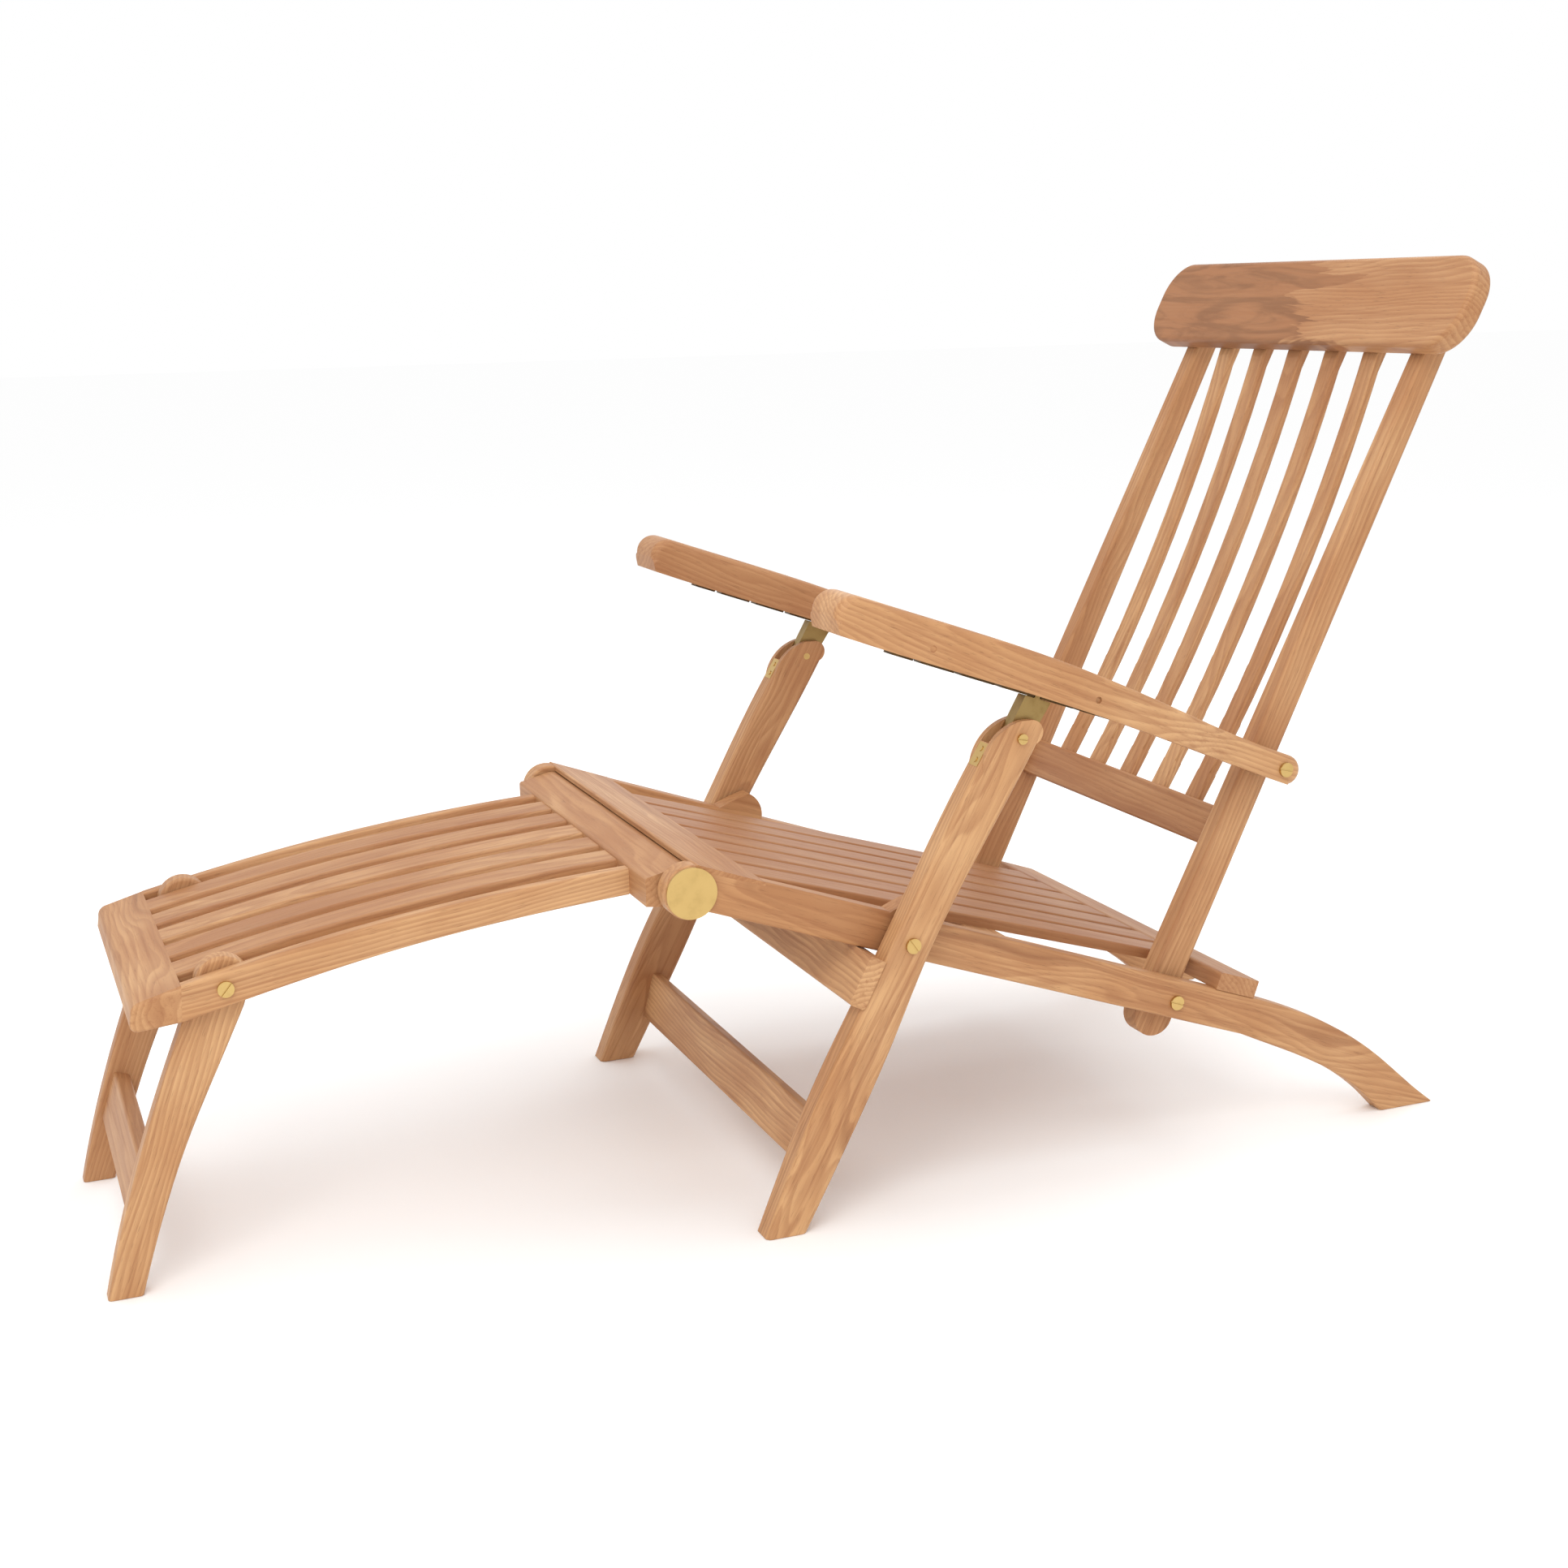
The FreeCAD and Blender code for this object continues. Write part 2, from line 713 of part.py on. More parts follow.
def arm_left():
    middle = cell("arm_inner") + " + " + cell("arm_wide") + " / 2"
    body = board("arm_left", arm_outline(), cell("arm_wide"), middle)
    cut_out(body, "waist", arm_waste_outline(), None, "XY_Plane")
    round_edges(body, cell("arm_round"), arm_top_edge)
    pivot = (size("arm_pivot_y"), size("arm_pivot_z"))
    bore(body, "arm_bolt_hole", pivot, cell("bolt_radius") + " + " + cell("running_gap"))
    strip_middle = size("leg_inner") + size("leg_thick") / 2 - size("arm_inner") - size("arm_wide") / 2
    seat = cut_out(body, "strip_seat", notch_rail_outline(), cell("notch_rail_wide"))
    shift_sketch(seat, strip_middle)
    for number, (y, z, _) in enumerate(PLUG_SPOTS):
        hole = cut_out(body, "plug_hole%d" % number, ring_outline((y, z), size("plug_radius")), str(2 * PLUG_LONG))
        shift_sketch(hole, size("arm_wide") / 2)
    return body


def arm_right(left):
    """The mirror image of the left arm."""
    mirror = doc.addObject("Part::Mirroring", "arm_right")
    mirror.Label = "arm_right"
    mirror.Source = left
    mirror.Base = Vector(0, 0, 0)
    mirror.Normal = Vector(1, 0, 0)
    doc.recompute()
    NODES.append(mirror)


def arm_axis_z(y):
    """Height of the middle of the arm at y, counted from the toe."""
    return 636.0 - 0.375 * (y - 97.0)


def arm_top_edge(edge):
    """The long upper edges; the rounding runs on round both ends by itself."""
    if edge.BoundBox.YLength < 100:
        return False
    middle = edge.CenterOfMass
    return middle.z > arm_axis_z(middle.y - size("toe_y"))


# ------------------------------------------------------------------ fasteners

def finish_group(node, shapes):
    """Separate solids that share one node."""
    group = doc.addObject("Part::Compound", node)
    group.Label = node
    group.Links = shapes
    doc.recompute()
    NODES.append(group)
    return group


def rod(name, radius, near, far, middle):
    """A round bar across the chair, from x = near to x = far."""
    cylinder = doc.addObject("Part::Cylinder", name)
    cylinder.setExpression("Radius", radius)
    cylinder.Height = abs(far - near)
    spot = Outline.place(*middle)
    cylinder.Placement = Placement(Vector(min(near, far), spot.x, spot.y), Rotation(Vector(0, 1, 0), 90))
    return cylinder


def slotted_bolt(name, side, middle, head_face, tip, radius="sizes.bolt_radius",
                 head="sizes.bolt_head_radius", slot_angle=35.0):
    """Round-headed bolt whose head lies on the plane x = head_face."""
    thick = size("bolt_head_thick")
    outer = head_face + thick
    shank = rod(name + "_shank", radius, side * tip, side * head_face, middle)
    cap = rod(name + "_head", head, side * head_face, side * outer, middle)
    whole = doc.addObject("Part::Fuse", name + "_whole")
    whole.Base = shank
    whole.Tool = cap
    slot = doc.addObject("Part::Box", name + "_slot")
    slot.setExpression("Width", "sizes.slot_wide")
    slot.setExpression("Length", "2 * sizes.slot_deep")
    slot.Height = 40.0
    spot = Outline.place(*middle)
    turn = Rotation(Vector(1, 0, 0), slot_angle)
    corner = turn.multVec(Vector(0, -size("slot_wide") / 2, -20))
    start = side * outer - size("slot_deep")
    slot.Placement = Placement(Vector(start, spot.x, spot.y) + corner, turn)
    bolt = doc.addObject("Part::Cut", name)
    bolt.Base = whole
    bolt.Tool = slot
    return bolt


def washer(name, side, middle, near, far):
    """A flat ring round a bolt, between x = near and x = far."""
    disc = rod(name + "_disc", "sizes.spacer_radius", side * near, side * far, middle)
    hole = rod(name + "_hole", "sizes.bolt_radius", side * (near - 1), side * (far + 1), middle)
    ring = doc.addObject("Part::Cut", name)
    ring.Base = disc
    ring.Tool = hole
    return ring


def leg_pivot_hardware():
    middle = (size("leg_pivot_y"), size("leg_pivot_z"))
    outer = size("leg_inner") + size("leg_thick") + size("side_gap")
    inner = size("rail_outer") - size("rail_thick") - size("nut_thick")
    bolts = [slotted_bolt("leg_bolt%d" % side, side, middle, outer, inner) for side in (1, -1)]
    finish_group("leg_pivot_bolts", bolts)


def back_pivot_hardware():
    middle = (size("back_pivot_y"), size("back_pivot_z"))
    tip = size("stile_outer") - size("stile_thick") - size("nut_thick") - size("side_gap")
    bolts = [slotted_bolt("back_bolt%d" % side, side, middle, size("rail_outer"), tip, slot_angle=70.0)
             for side in (1, -1)]
    finish_group("back_pivot_bolts", bolts)


def pivot_nuts():
    """The nuts on the four frame bolts: two on the rails, two inside the stiles."""
    rings = []
    for side in (1, -1):
        rail_inner = size("rail_outer") - size("rail_thick")
        stile_inner = size("stile_outer") - size("stile_thick") - size("side_gap")
        leg_pivot = (size("leg_pivot_y"), size("leg_pivot_z"))
        back_pivot = (size("back_pivot_y"), size("back_pivot_z"))
        rings.append(nut("leg_nut%d" % side, side, leg_pivot, rail_inner))
        rings.append(nut("back_nut%d" % side, side, back_pivot, stile_inner))
    finish_group("pivot_nuts", rings)


def nut(name, side, middle, face):
    """A hexagon nut whose outer face lies on x = face."""
    thick = size("nut_thick")
    prism = doc.addObject("Part::Prism", name + "_hexagon")
    prism.Polygon = 6
    prism.setExpression("Circumradius", "sizes.nut_radius")
    prism.setExpression("Height", "sizes.nut_thick")
    spot = Outline.place(*middle)
    low = face - thick if side > 0 else -face
    prism.Placement = Placement(Vector(low, spot.x, spot.y), Rotation(Vector(0, 1, 0), 90))
    hole = rod(name + "_hole", "sizes.bolt_radius", side * (face - thick - 1), side * (face + 1), middle)
    ring = doc.addObject("Part::Cut", name)
    ring.Base = prism
    ring.Tool = hole
    return ring


def pivot_spacers():
    """Washers that hold the legs off the rails and the stiles off the rails."""
    rings = []
    gap = size("side_gap")
    for side in (1, -1):
        leg_pivot = (size("leg_pivot_y"), size("leg_pivot_z"))
        back_pivot = (size("back_pivot_y"), size("back_pivot_z"))
        rail_inner = size("rail_outer") - size("rail_thick")
        rings.append(washer("leg_spacer%d" % side, side, leg_pivot, size("rail_outer"), size("leg_inner") - gap))
        rings.append(washer("back_spacer%d" % side, side, back_pivot, size("stile_outer") + gap, rail_inner))
    finish_group("pivot_spacers", rings)


def footrest_hinge_caps():
    """Brass discs on the knuckles, each in one piece with its hinge pin."""
    middle = knuckle_centre()
    caps = []
    for side in (1, -1):
        outer = size("rail_outer")
        name = "hinge_cap%d" % side
        disc = rod(name + "_disc", "sizes.cap_radius", side * outer, side * (outer + size("cap_thick")), middle)
        pin = rod(name + "_pin", "sizes.cap_pin_radius", side * 215.0, side * outer, middle)
        cap = doc.addObject("Part::Fuse", name)
        cap.Base = disc
        cap.Tool = pin
        caps.append(cap)
    finish_group("footrest_hinge_caps", caps)


def hook_pins():
    """Slotted pins through the forks of the front legs."""
    middle = (size("hook_pin_y"), size("hook_pin_z"))
    outer = size("leg_inner") + size("leg_thick")
    pins = [slotted_bolt("hook_pin%d" % side, side, middle, outer, size("leg_inner"),
                         "sizes.hook_pin_radius", "sizes.screw_head_radius + 1.5", 80.0) for side in (1, -1)]
    finish_group("hook_pins", pins)


def arm_bolts():
    middle = (size("arm_pivot_y"), size("arm_pivot_z"))
    outer = size("arm_inner") + size("arm_rear_wide") + size("side_gap")
    tip = size("stile_outer") - size("stile_thick") - size("nut_thick")
    bolts = [slotted_bolt("arm_bolt%d" % side, side, middle, outer, tip, slot_angle=75.0) for side in (1, -1)]
    finish_group("arm_pivot_bolts", bolts)


def arm_nuts():
    middle = (size("arm_pivot_y"), size("arm_pivot_z"))
    inner = size("stile_outer") - size("stile_thick")
    finish_group("arm_pivot_nuts", [nut("arm_nut%d" % side, side, middle, inner) for side in (1, -1)])


def arm_spacers():
    """Washers between the stiles and the arms."""
    middle = (size("arm_pivot_y"), size("arm_pivot_z"))
    near = size("stile_outer")
    far = size("arm_inner") - size("side_gap")
    finish_group("arm_spacers", [washer("arm_spacer%d" % side, side, middle, near, far) for side in (1, -1)])


def fork_straps():
    """Brass straps on the front of each fork, each held by two domed screws."""
    parts = []
    thick = size("strap_thick")
    tall = size("strap_tall")
    half = size("strap_half")
    middle_x = size("leg_inner") + size("leg_thick") / 2
    turn = Rotation(Vector(1, 0, 0), STRAP_ANGLE)
    for side in (1, -1):
        strap = doc.addObject("Part::Box", "fork_strap%d" % side)
        strap.setExpression("Length", "2 * sizes.strap_half")
        strap.setExpression("Width", "sizes.strap_thick")
        strap.setExpression("Height", "sizes.strap_tall")
        low = Outline.place(*along(STRAP_TOP, STRAP_ANGLE, -thick, -tall))
        strap.Placement = Placement(Vector(side * middle_x - half, low.x, low.y), turn)
        whole = strap
        for number, down in enumerate((0.26, 0.74)):
            spot = Outline.place(*along(STRAP_TOP, STRAP_ANGLE, -thick - STRAP_SCREW_PROUD, -down * tall))
            screw = doc.addObject("Part::Cylinder", "fork_screw%d%d" % (side + 1, number))
            screw.setExpression("Radius", "sizes.screw_head_radius - 1")
            screw.Height = STRAP_SCREW_PROUD + thick / 2
            screw.Placement = Placement(Vector(side * middle_x, spot.x, spot.y), turn * Rotation(Vector(1, 0, 0), -90))
            joined = doc.addObject("Part::Fuse", "fork_strap_screw%d%d" % (side + 1, number))
            joined.Base = whole
            joined.Tool = screw
            whole = joined
        parts.append(whole)
    finish_group("fork_straps", parts)


STRAP_SCREW_PROUD = 0.8


def headrest_screws():
    """Wood screws from behind, two through each stile into the headrest."""
    screws = []
    thick = 3.0
    for side in (1, -1):
        for number, height in enumerate((885.0, 912.0)):
            name = "headrest_screw%d%d" % (side + 1, number)
            across = size("stile_outer") - size("stile_thick") / 2
            shank = doc.addObject("Part::Cylinder", name + "_shank")
            shank.Radius = 2.5
            shank.Height = 38.0
            cap = doc.addObject("Part::Cylinder", name + "_cap")
            cap.setExpression("Radius", "sizes.screw_head_radius")
            cap.Height = thick
            back = Outline.place(*along((stile_front(height), height), BACK_ANGLE, 25.2, 0))
            turn = Rotation(Vector(1, 0, 0), 90 + BACK_ANGLE)
            shank.Placement = Placement(Vector(side * across, back.x, back.y), turn)
            lift = turn.multVec(Vector(0, 0, -thick))
            cap.Placement = Placement(Vector(side * across, back.x, back.y) + lift, turn)
            screw = doc.addObject("Part::Fuse", name)
            screw.Base = shank
            screw.Tool = cap
            screws.append(screw)
    finish_group("headrest_screws", screws)


# ------------------------------------------------------------------- footrest

FOOT_TOP = [(-542.0, 314.0), (-430.0, 337.5), (-338.0, 353.0), (-244.0, 365.0), (-95.0, 377.0)]
FOOT_LOW = [(-95.0, 349.0), (-245.0, 335.0), (-327.0, 323.5), (-407.0, 308.5), (-544.0, 277.5)]


def footrest_rail(side_name, sign):
    """Arched side rail of the footrest."""
    shape = Outline(*FOOT_TOP[0])
    shape.curve(*FOOT_TOP[1:])
    shape.line(*FOOT_LOW[0])
    shape.curve(*FOOT_LOW[1:])
    node = "footrest_rail_" + side_name
    middle = sign + "(" + cell("foot_rail_outer") + " - " + cell("foot_rail_thick") + " / 2)"
    body = board(node, shape.close(), cell("foot_rail_thick"), middle)
    round_edges(body, cell("round_small"), long_bow_edge)
    pivot = (size("foot_leg_pivot_y"), size("foot_leg_pivot_z"))
    bore(body, "leg_bolt_hole", pivot, cell("bolt_radius"))


def footrest_slat_outline():
    drop = size("foot_slat_thick")
    shape = Outline(*FOOT_TOP[0])
    shape.curve(*FOOT_TOP[1:])
    lower = [(y, z - drop) for y, z in reversed(FOOT_TOP)]
    shape.line(*lower[0])
    shape.curve(*lower[1:])
    return shape.close()


def footrest_slats():
    count = int(size("foot_slat_count"))
    for number in range(1, count + 1):
        step = number - (count + 1) / 2
        middle = "%g * %s" % (step, cell("foot_slat_pitch"))
        body = board("footrest_slat_%d" % number, footrest_slat_outline(), cell("foot_slat_width"), middle)
        round_edges(body, cell("round_small"), long_bow_edge)


def footrest_end_board():
    """Bevelled nose board across the end of the footrest."""
    shape = Outline(*FOOT_TOP[0])
    shape.line(*FOOT_LOW[-1])
    shape.line(-584, 273.5)
    shape.arc((-589.6, 275.4), (-592, 281))
    shape.line(-590.5, 291)
    shape.arc((-588.8, 297.8), (-583, 302.5))
    body = board("footrest_end_board", shape.close(), "2 * " + cell("foot_rail_outer"))
    round_edges(body, cell("round_mid"), end_board_edge)


def end_board_edge(edge):
    return on_side_face(edge) and edge.CenterOfMass.y < -546 + size("toe_y")


INNER_BOARD_ROUND = 21.5


def inner_board_outline():
    """Hinge board of the footrest, round about the hinge on its rear side."""
    knuckle = knuckle_centre()
    shape = Outline(-95, 350.5)
    shape.line(-95, 377.0)
    shape.arc((-93.8, 379.6), (-91, 380.5))
    shape.line(*around(knuckle, INNER_BOARD_ROUND, 105))
    shape.arc(around(knuckle, INNER_BOARD_ROUND, 10), around(knuckle, INNER_BOARD_ROUND, -85))
    return shape.close()


def footrest_inner_board():
    body = board("footrest_inner_board", inner_board_outline(), "2 * " + cell("inner_board_half"))
    bore(body, "hinge_pin_hole", knuckle_centre(), cell("cap_pin_radius") + " + " + cell("running_gap"))


def footrest_leg(side_name, sign):
    """Slim leg that swings on a bolt inside the footrest rail."""
    pivot = (size("foot_leg_pivot_y"), size("foot_leg_pivot_z"))
    radius = 27.0
    shape = Outline(-634, 0)
    shape.curve((-612, 82), (-585, 163), (-548, 258))
    shape.line(*around(pivot, radius, 172))
    shape.arc(around(pivot, radius, 95), around(pivot, radius, 2))
    shape.line(-483, 281)
    shape.curve((-512, 222), (-544, 156), (-575, 78), (-600, 0))
    node = "footrest_leg_" + side_name
    middle = sign + "(" + cell("foot_leg_outer") + " - " + cell("foot_leg_thick") + " / 2)"
    body = board(node, shape.close(), cell("foot_leg_thick"), middle)
    round_edges(body, cell("round_mid"), foot_leg_edge)
    bore(body, "leg_bolt_hole", pivot, cell("bolt_radius") + " + " + cell("running_gap"))


def foot_leg_edge(edge):
    return on_side_face(edge) and edge.CenterOfMass.z > 3


def footrest_leg_rail():
    outline = bar_outline((-591.5, 94.5), -19.0, size("foot_leg_rail_thick"), size("foot_leg_rail_tall"))
    across = "2 * (%s - %s)" % (cell("foot_leg_outer"), cell("foot_leg_thick"))
    body = board("footrest_leg_rail", outline, across)
    round_edges(body, cell("round_small"), crosswise)


def footrest_leg_bolts():
    middle = (size("foot_leg_pivot_y"), size("foot_leg_pivot_z"))
    tip = size("foot_leg_outer") - size("foot_leg_thick") + 2.0
    bolts = [slotted_bolt("foot_bolt%d" % side, side, middle, size("foot_rail_outer"), tip, slot_angle=-40.0)
             for side in (1, -1)]
    finish_group("footrest_leg_bolts", bolts)


# ----------------------------------------------------------- the arms' notches

NOTCH_RAIL = {"front": 150.0, "rear": 400.0, "let_in": 9.0}


def notch_rail_outline():
    """Straight strip, let a little into the arched underside of the arm."""
    let_in = NOTCH_RAIL["let_in"]
    front = NOTCH_RAIL["front"]
    start = (front, arm_under(front))
    length = (NOTCH_RAIL["rear"] - front) / math.cos(math.radians(NOTCH_ANGLE))
    shape = Outline(*along(start, NOTCH_ANGLE, 0, let_in))
    shape.line(*along(start, NOTCH_ANGLE, length, let_in))
    shape.line(*along(start, NOTCH_ANGLE, length, -size("notch_rail_proud")))
    shape.line(*along(start, NOTCH_ANGLE, 0, -size("notch_rail_proud")))
    return shape.close()


def notch_rail(side_name, sign):
    """Strip under the arm with a row of notches for the hook."""
    node = "notch_rail_" + side_name
    middle = sign + "(" + cell("leg_inner") + " + " + cell("leg_thick") + " / 2)"
    body = board(node, notch_rail_outline(), cell("notch_rail_wide"), middle)
    root = (HOOK_NOTCH_Y, strip_under(HOOK_NOTCH_Y))
    for number in range(NOTCHES_IN_FRONT, NOTCHES_BEHIND + 1):
        spot = along(root, NOTCH_ANGLE, number * size("notch_pitch"), 0.0)
        bore(body, "notch%d" % (number - NOTCHES_IN_FRONT), spot, cell("notch_radius"))


NOTCHES_IN_FRONT = -3
NOTCHES_BEHIND = 1


PLUG_SPOTS = ((187.0, 599.3, 0.4), (374.3, 531.4, 3.0))
PLUG_LONG = 10.0


def arm_plugs():
    """Round plugs over the screws that hold the notched strip."""
    for side_name, side in (("left", 1), ("right", -1)):
        outer = size("arm_inner") + size("arm_wide")
        plugs = []
        for number, (y, z, inset) in enumerate(PLUG_SPOTS):
            name = "plug_%s%d" % (side_name, number)
            plugs.append(rod(name, "sizes.plug_radius", side * (outer - PLUG_LONG), side * (outer - inset), (y, z)))
        finish_group("arm_plugs_" + side_name, plugs)


# ------------------------------------------------------------------- assembly

pair(seat_rail)
seat_front_board()
seat_slats()
seat_batten()
seat_rear_board()
pair(front_leg)
seat_support_bar()
lower_stretcher()
pair(hook)
pair(back_stile)
back_lower_rail()
back_slats()
headrest()
arm_right(arm_left())
pair(notch_rail)
pair(footrest_rail)
footrest_slats()
footrest_end_board()
footrest_inner_board()
pair(footrest_leg)
footrest_leg_rail()
leg_pivot_hardware()
back_pivot_hardware()
pivot_nuts()
pivot_spacers()
footrest_hinge_caps()
hook_pins()
arm_bolts()
arm_nuts()
arm_spacers()
arm_plugs()
fork_straps()
headrest_screws()
footrest_leg_bolts()
doc.recompute()

for thing in doc.Objects:
    if "Invalid" in thing.State or "Error" in thing.State:
        raise RuntimeError(thing.Name + " did not recompute: " + str(thing.State))
for node in NODES:
    if node.Shape.isNull() or not node.Shape.isValid():
        raise RuntimeError(node.Label + " has no valid shape")

os.makedirs("parts", exist_ok=True)
for node in NODES:
    node.Shape.exportStep("parts/" + node.Label + ".step")
box = Part.Compound([node.Shape for node in NODES]).optimalBoundingBox()
print(len(NODES), "nodes; box X %.1f..%.1f Y %.1f..%.1f Z %.1f..%.1f"
      % (box.XMin, box.XMax, box.YMin, box.YMax, box.ZMin, box.ZMax))
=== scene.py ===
import json
import math
import random

import bpy
import numpy as np
from mathutils import Matrix, Vector


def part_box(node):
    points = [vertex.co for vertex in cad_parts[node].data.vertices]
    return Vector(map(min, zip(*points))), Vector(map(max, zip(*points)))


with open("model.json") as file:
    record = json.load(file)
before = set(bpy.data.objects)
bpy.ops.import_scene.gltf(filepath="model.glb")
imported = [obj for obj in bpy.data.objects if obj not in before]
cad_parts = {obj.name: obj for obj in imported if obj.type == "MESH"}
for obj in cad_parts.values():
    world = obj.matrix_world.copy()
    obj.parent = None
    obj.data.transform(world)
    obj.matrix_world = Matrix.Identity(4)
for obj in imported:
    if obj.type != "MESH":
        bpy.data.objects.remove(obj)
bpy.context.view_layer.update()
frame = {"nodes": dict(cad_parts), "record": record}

ACROSS = Vector((1, 0, 0))


# ------------------------------------------------------------------ helpers

def linear(red, green, blue):
    """An sRGB colour (0 to 255) as the linear colour that Blender uses."""
    values = []
    for value in (red, green, blue):
        share = value / 255.0
        values.append(share / 12.92 if share <= 0.04045 else ((share + 0.055) / 1.055) ** 2.4)
    return tuple(values) + (1.0,)


class Tree:
    """A short way to write a material's nodes."""

    def __init__(self, name):
        self.material = bpy.data.materials.new(name)
        self.material.use_nodes = True
        self.nodes = self.material.node_tree.nodes
        self.links = self.material.node_tree.links
        self.nodes.clear()

    def add(self, kind, **settings):
        node = self.nodes.new(kind)
        for key, value in settings.items():
            setattr(node, key, value)
        return node

    def feed(self, socket, value):
        """Link a socket to another node's output, or write a plain value into it."""
        if isinstance(value, bpy.types.NodeSocket):
            self.links.new(value, socket)
        else:
            socket.default_value = value

    def math(self, operation, first, second=0.0, third=None):
        node = self.add("ShaderNodeMath", operation=operation)
        self.feed(node.inputs[0], first)
        self.feed(node.inputs[1], second)
        if third is not None:
            self.feed(node.inputs[2], third)
        return node.outputs[0]

    def dot(self, vector, axis):
        node = self.add("ShaderNodeVectorMath", operation="DOT_PRODUCT")
        self.feed(node.inputs[0], vector)
        node.inputs[1].default_value = axis
        return node.outputs["Value"]

    def combine(self, x, y, z):
        node = self.add("ShaderNodeCombineXYZ")
        for socket, value in zip(node.inputs, (x, y, z)):
            self.feed(socket, value)
        return node.outputs[0]

    def scaled(self, values, factors):
        """A texture position: each value times its own factor, in waves per metre."""
        products = [self.math("MULTIPLY", value, factor) for value, factor in zip(values, factors)]
        return self.combine(*products)

    def noise(self, vector, scale=1.0, detail=2.0, rough=0.5, twist=0.0):
        node = self.add("ShaderNodeTexNoise")
        self.feed(node.inputs["Vector"], vector)
        node.inputs["Scale"].default_value = scale
        node.inputs["Detail"].default_value = detail
        node.inputs["Roughness"].default_value = rough
        node.inputs["Distortion"].default_value = twist
        return node.outputs["Fac"]

    def steps(self, value, low, high):
        """0 below low, 1 above high, smooth between."""
        node = self.add("ShaderNodeMapRange", interpolation_type="SMOOTHSTEP")
        self.feed(node.inputs["Value"], value)
        node.inputs["From Min"].default_value = low
        node.inputs["From Max"].default_value = high
        return node.outputs["Result"]

    def blend(self, share, first, second):
        node = self.add("ShaderNodeMix", data_type="RGBA", blend_type="MIX")
        self.feed(node.inputs["Factor"], share)
        self.feed(node.inputs["A"], first)
        self.feed(node.inputs["B"], second)
        return node.outputs["Result"]

    def cover(self, under, colour, mask, strength):
        """Lay a colour over another where the mask is 1, at the given strength."""
        return self.blend(self.math("MULTIPLY", mask, strength), under, colour)

    def shader(self):
        surface = self.add("ShaderNodeBsdfPrincipled")
        output = self.add("ShaderNodeOutputMaterial")
        self.links.new(surface.outputs[0], output.inputs["Surface"])
        return surface

    def bump(self, surface, height, strength, distance):
        node = self.add("ShaderNodeBump")
        node.inputs["Strength"].default_value = strength
        node.inputs["Distance"].default_value = distance
        self.links.new(height, node.inputs["Height"])
        self.links.new(node.outputs[0], surface.inputs["Normal"])


def main_axes(node):
    """The board's own directions: along it, across it and through it."""
    points = np.array([vertex.co for vertex in frame["nodes"][node].data.vertices])
    centred = points - (points.min(0) + points.max(0)) / 2
    spread, turns = np.linalg.eigh(centred.T @ centred)
    order = np.argsort(spread)[::-1]
    return [Vector(turns[:, index]).normalized() for index in order]


# ------------------------------------------------------------------- timber

PALE = linear(212, 168, 121)
HONEY = linear(188, 138, 93)
RUSSET = linear(150, 98, 64)
DARK = linear(112, 68, 42)
PORE = linear(96, 62, 40)

RING_GAP_MM = (4.2, 6.5)
RING_STRENGTH = 0.38
STREAK_STRENGTH = 0.55
PORE_STRENGTH = 0.35


def grain_axes(node, along):
    """Axes with the grain first: the board's length, or the direction given."""
    axes = main_axes(node)
    if along is None:
        return axes
    return [along] + [axis for axis in axes if abs(axis.dot(along)) < 0.8][:2]


def distance_from_heart(tree, spot, shift, knotty, draw):
    """Distance from the tree's heart line, which wanders slowly along the board."""
    slow = tree.scaled(spot, (2.2, 9.0, 9.0))
    wander_v = tree.math("SUBTRACT", tree.noise(slow), 0.5)
    wander_w = tree.math("SUBTRACT", tree.noise(slow, 1.37, twist=0.4), 0.5)
    heart_v = -shift[1] + draw.uniform(-0.03, 0.03)
    heart_w = -shift[2] + draw.choice((-1, 1)) * draw.uniform(0.05, 0.11)
    reach = 0.02 + 0.09 * knotty
    squares = []
    for value, heart, wander in ((spot[1], heart_v, wander_v), (spot[2], heart_w, wander_w)):
        far = tree.math("ADD", tree.math("ADD", value, heart), tree.math("MULTIPLY", wander, reach))
        squares.append(tree.math("POWER", far, 2.0))
    return tree.math("SQRT", tree.math("ADD", *squares))


def growth_rings(tree, radius, draw):
    """Growth rings: sharp on one side, soft on the other."""
    turn = tree.math("FRACT", tree.math("MULTIPLY", radius, 1000.0 / draw.uniform(*RING_GAP_MM)))
    early = tree.steps(turn, 0.0, 0.16)
    late = tree.math("SUBTRACT", 1.0, tree.steps(turn, 0.16, 1.0))
    return tree.math("MULTIPLY", early, late)


